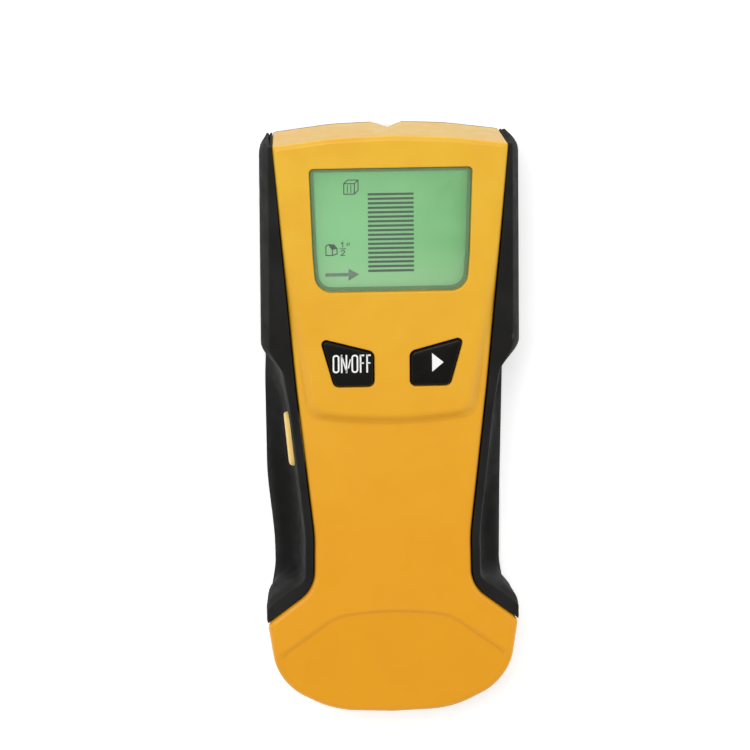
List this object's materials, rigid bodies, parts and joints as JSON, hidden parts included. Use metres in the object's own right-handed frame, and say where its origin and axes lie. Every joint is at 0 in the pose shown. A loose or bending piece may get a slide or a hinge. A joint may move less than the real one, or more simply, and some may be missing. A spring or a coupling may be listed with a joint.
{
  "type": "stud finder",
  "caption": "Hand-held wall scanner with a waisted yellow case, black rubber side grips, a green display, two face buttons, a thumb button and a battery door in its flat back.",
  "frame": {"origin": "middle of the flat back, on the plane that it slides or rests on", "axes": "+Y along the length towards the head with the marking notch, +Z out of the face, +X towards the side without the thumb button"},
  "size_m": [0.0678, 0.1549, 0.033],
  "materials": {
    "yellow_shell": "fine moulded satin texture",
    "black_plastic": "moulded, lightly grained",
    "grip_rubber": "soft-touch moulded rubber",
    "button_rubber": "smooth satin key caps with white symbols",
    "clear_window": "clear moulded acrylic",
    "screen_glass": "green reflective liquid crystal cell",
    "diffuser": "milky light guide",
    "led": "small moulded lamp body",
    "circuit_board": "green solder mask",
    "zinc_steel": "zinc plated",
    "copper": "enamelled copper wire",
    "aluminium": "plain",
    "battery_jacket": "printed steel jacket without a mark",
    "red_insulation": "smooth PVC"
  },
  "bodies": {
    "case": {"front_shell": "yellow_shell", "back_shell": "black_plastic", "power_switch": "black_plastic", "mode_switch": "black_plastic", "side_switch": "black_plastic", "board_connector": "black_plastic", "processor": "black_plastic", "buzzer": "black_plastic", "battery_snap": "black_plastic", "battery_lead_black": "black_plastic", "left_grip": "grip_rubber", "right_grip": "grip_rubber", "window_gasket": "grip_rubber", "zebra_strip": "grip_rubber", "lcd_window": "clear_window", "lcd_glass": "screen_glass", "lcd_backlight": "diffuser", "backlight_led_1": "led", "backlight_led_2": "led", "main_board": "circuit_board", "sensor_board": "circuit_board", "sensing_coil": "copper", "capacitor": "aluminium", "battery": "battery_jacket", "battery_lead_red": "red_insulation", "case_screw_1": "zinc_steel", "case_screw_2": "zinc_steel", "case_screw_3": "zinc_steel", "case_screw_4": "zinc_steel", "board_screw_1": "zinc_steel", "board_screw_2": "zinc_steel", "board_screw_3": "zinc_steel"},
    "power_key": {"power_button": "button_rubber", "power_switch_plunger": "aluminium"},
    "mode_key": {"mode_button": "button_rubber", "mode_switch_plunger": "aluminium"},
    "thumb_key": {"side_button": "yellow_shell", "side_switch_plunger": "aluminium"},
    "door": {"battery_door": "black_plastic"}
  },
  "joints": [
    {"name": "power_button_press", "type": "slide", "parent": "case", "child": "power_key", "axis": [0, 0, -1], "range_m": [0, 0.0007], "stiffness_N_per_m": 1500},
    {"name": "mode_button_press", "type": "slide", "parent": "case", "child": "mode_key", "axis": [0, 0, -1], "range_m": [0, 0.0007], "stiffness_N_per_m": 1500},
    {"name": "side_button_press", "type": "slide", "parent": "case", "child": "thumb_key", "axis": [1, 0, 0], "range_m": [0, 0.001], "stiffness_N_per_m": 1500},
    {"name": "battery_door_hinge", "type": "hinge", "parent": "case", "child": "door", "pos_m": [0, -0.0689, 0.00075], "axis": [-1, 0, 0], "range_deg": [0, 100]}
  ]
}
